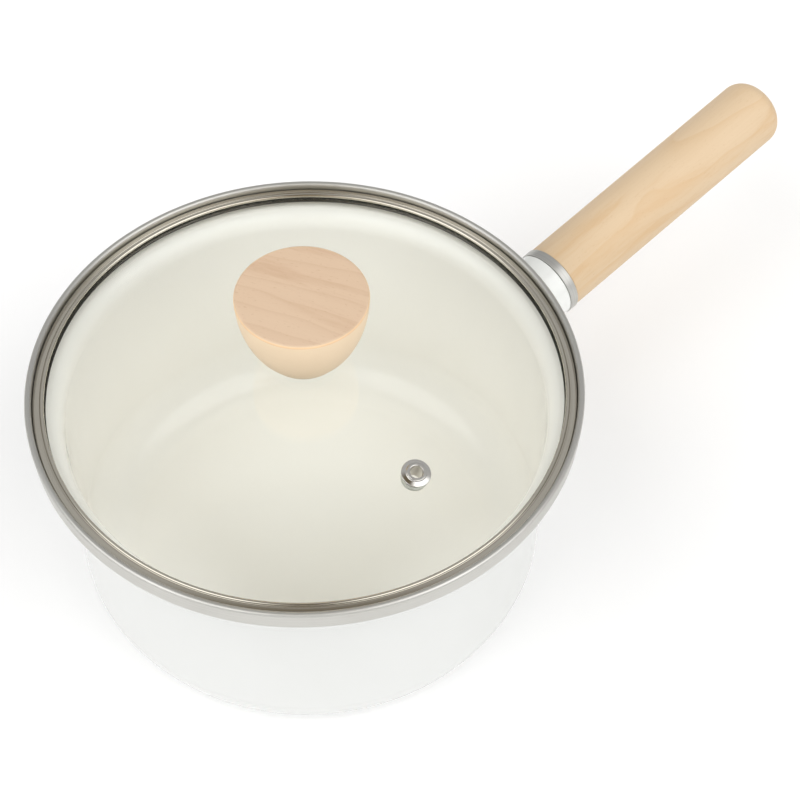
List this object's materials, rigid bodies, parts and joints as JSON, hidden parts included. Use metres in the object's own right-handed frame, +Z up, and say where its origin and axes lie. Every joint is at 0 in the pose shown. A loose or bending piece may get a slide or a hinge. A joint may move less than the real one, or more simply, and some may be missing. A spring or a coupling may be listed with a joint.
{
  "type": "saucepan with glass lid",
  "caption": "Enamelled steel saucepan with a straight wooden handle and a lift-off domed glass lid with a wooden knob and a steam vent.",
  "frame": {"origin": "centre of the pan's flat underside, on the pan's axis", "axes": "+Z up along the pan's axis, +X from the axis towards the handle, +Y completes the right-handed set"},
  "size_m": [0.3597, 0.2, 0.1438],
  "materials": {
    "enamel": "glossy vitreous enamel on steel, white outside and a warmer cream inside",
    "brushed_steel": "satin",
    "polished_steel": "polished stainless steel",
    "zinc_steel": "zinc plated, hidden",
    "brass": "plain, hidden",
    "glass": "clear tempered glass",
    "dark_silicone": "matt",
    "clear_silicone": "translucent silicone",
    "pine": "pale turned wood, matt lacquer",
    "beech": "pinkish turned wood, matt lacquer"
  },
  "bodies": {
    "pan": {"pan_body": "enamel", "rim_trim": "brushed_steel", "handle_socket": "enamel", "socket_nut": "zinc_steel", "handle_stud": "zinc_steel", "ferrule_ring": "brushed_steel", "handle_grip": "pine", "handle_insert": "brass"},
    "lid_rim": {"lid_band": "polished_steel", "lid_seal": "dark_silicone"},
    "lid": {"lid_glass": "glass", "knob_grip": "beech", "knob_insert": "brass", "knob_gasket": "clear_silicone", "knob_grommet": "clear_silicone", "knob_washer": "brushed_steel", "knob_screw": "brushed_steel", "vent_eyelet": "polished_steel", "vent_grommet": "clear_silicone", "vent_washer": "brushed_steel"}
  },
  "joints": [
    {"name": "lid_lift", "type": "slide", "parent": "pan", "child": "lid_rim", "axis": [0, 0, 1], "range_m": [0, 0.12]},
    {"name": "lid_turn", "type": "hinge", "parent": "lid_rim", "child": "lid", "pos_m": [0, 0, 0.09], "axis": [0, 0, 1], "continuous": true}
  ]
}
